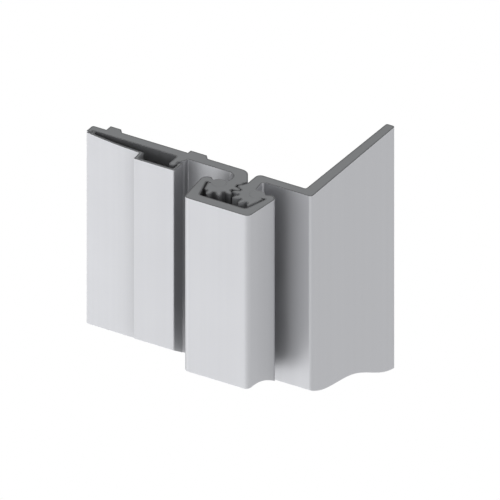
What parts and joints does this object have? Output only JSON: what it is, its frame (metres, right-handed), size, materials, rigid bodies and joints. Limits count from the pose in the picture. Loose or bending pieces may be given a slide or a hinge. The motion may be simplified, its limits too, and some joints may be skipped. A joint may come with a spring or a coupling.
{
  "type": "continuous geared hinge",
  "caption": "Pinless continuous hinge cut to a short length: covered door leaf and wrap-around frame leaf with geared edges that roll together inside a C-shaped cap.",
  "frame": {"origin": "centre of the frame leaf web's back face, at half of the sample's nominal length", "axes": "+Z along the hinge towards the sawn top end, +Y out of the web's back face into the frame, +X from the door leaf towards the frame leaf's flange"},
  "size_m": [0.088, 0.0776, 0.094],
  "materials": {
    "anodised_aluminium": "satin clear anodised",
    "acetal": "as machined"
  },
  "bodies": {
    "frame": {"frame_leaf": "anodised_aluminium"},
    "cap": {"gear_cap": "anodised_aluminium", "thrust_bearing": "acetal", "bearing_lock": "acetal"},
    "door": {"door_leaf": "anodised_aluminium", "door_leaf_cover": "anodised_aluminium"}
  },
  "joints": [
    {"name": "cap_turn", "type": "hinge", "parent": "frame", "child": "cap", "pos_m": [-0.00261, -0.0118, 0], "axis": [0, 0, 1], "range_deg": [0, 90]},
    {"name": "door_turn", "type": "hinge", "parent": "cap", "child": "door", "pos_m": [-0.01785, -0.0118, 0], "axis": [0, 0, 1], "range_deg": [0, 90]}
  ],
  "couplings": [
    {"joint": "door_turn", "follows": "cap_turn", "ratio": 1}
  ]
}
